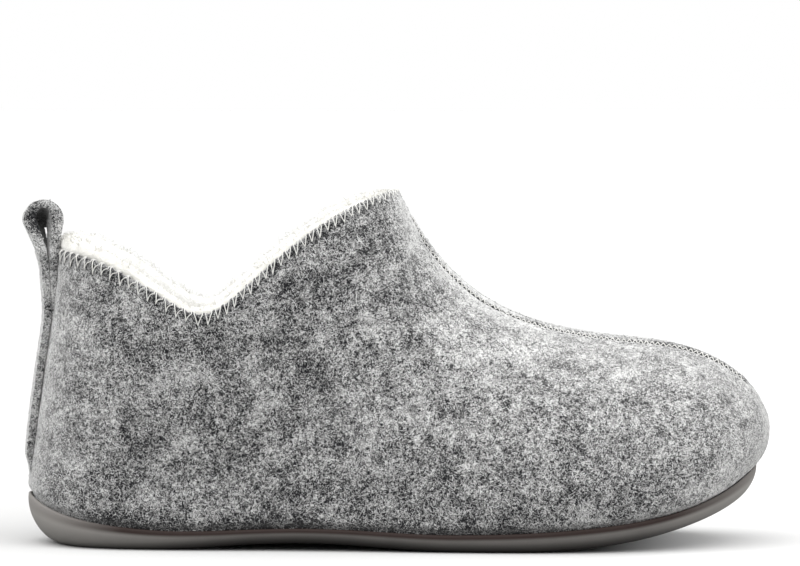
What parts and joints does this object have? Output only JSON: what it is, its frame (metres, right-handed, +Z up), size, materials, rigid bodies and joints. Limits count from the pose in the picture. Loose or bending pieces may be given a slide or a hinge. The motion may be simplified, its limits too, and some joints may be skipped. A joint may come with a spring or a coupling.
{
  "type": "slipper boot",
  "caption": "Ankle-high felt slipper boot for the right foot, with a moulded rubber sole, fleece lining and a heel pull loop, worn indoors to keep the foot warm.",
  "frame": {"origin": "on the floor, under the middle of the boot's length and width", "axes": "+X towards the toe, +Y towards the inner side of the foot, +Z up"},
  "size_m": [0.2759, 0.102, 0.1312],
  "materials": {
    "sole_rubber": "satin",
    "felt": "napped wool felt",
    "fleece": "curly pile"
  },
  "bodies": {
    "root": {"outsole": "sole_rubber", "upper": "felt", "insole": "fleece", "heel_loop": "felt"}
  },
  "joints": []
}
